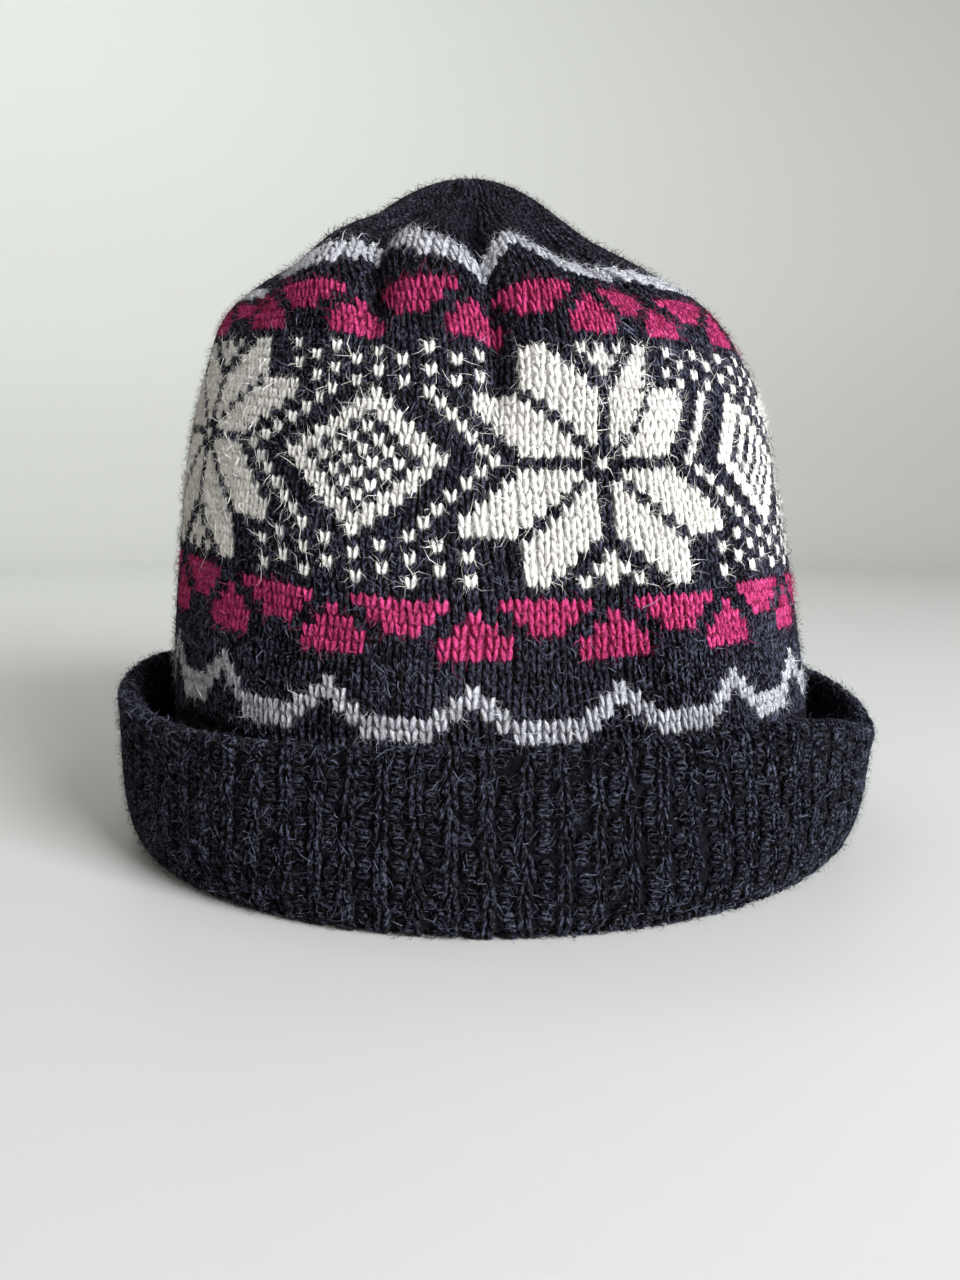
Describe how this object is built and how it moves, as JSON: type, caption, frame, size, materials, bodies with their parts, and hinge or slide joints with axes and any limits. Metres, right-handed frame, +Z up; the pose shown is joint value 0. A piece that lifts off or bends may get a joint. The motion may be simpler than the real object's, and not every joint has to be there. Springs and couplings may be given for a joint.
{
  "type": "knitted beanie",
  "caption": "Knitted wool beanie with a gathered tip, star and diamond colourwork in bands round the crown, and a turned-up ribbed cuff; worn on the head for warmth.",
  "frame": {"origin": "middle of the hat's outline, on the surface that the folded lower edge stands on", "axes": "+Z up through the gathered tip, the hat's front facing -Y, +X to the wearer's left as seen from the front"},
  "size_m": [0.228, 0.223, 0.1932],
  "materials": {
    "patterned_wool": "soft fuzzy stocking stitch in charcoal black with off-white, burgundy and grey motifs",
    "ribbed_wool": "thick fuzzy single rib in charcoal black wool"
  },
  "bodies": {
    "root": {"crown": "patterned_wool", "cuff": "ribbed_wool"}
  },
  "joints": []
}
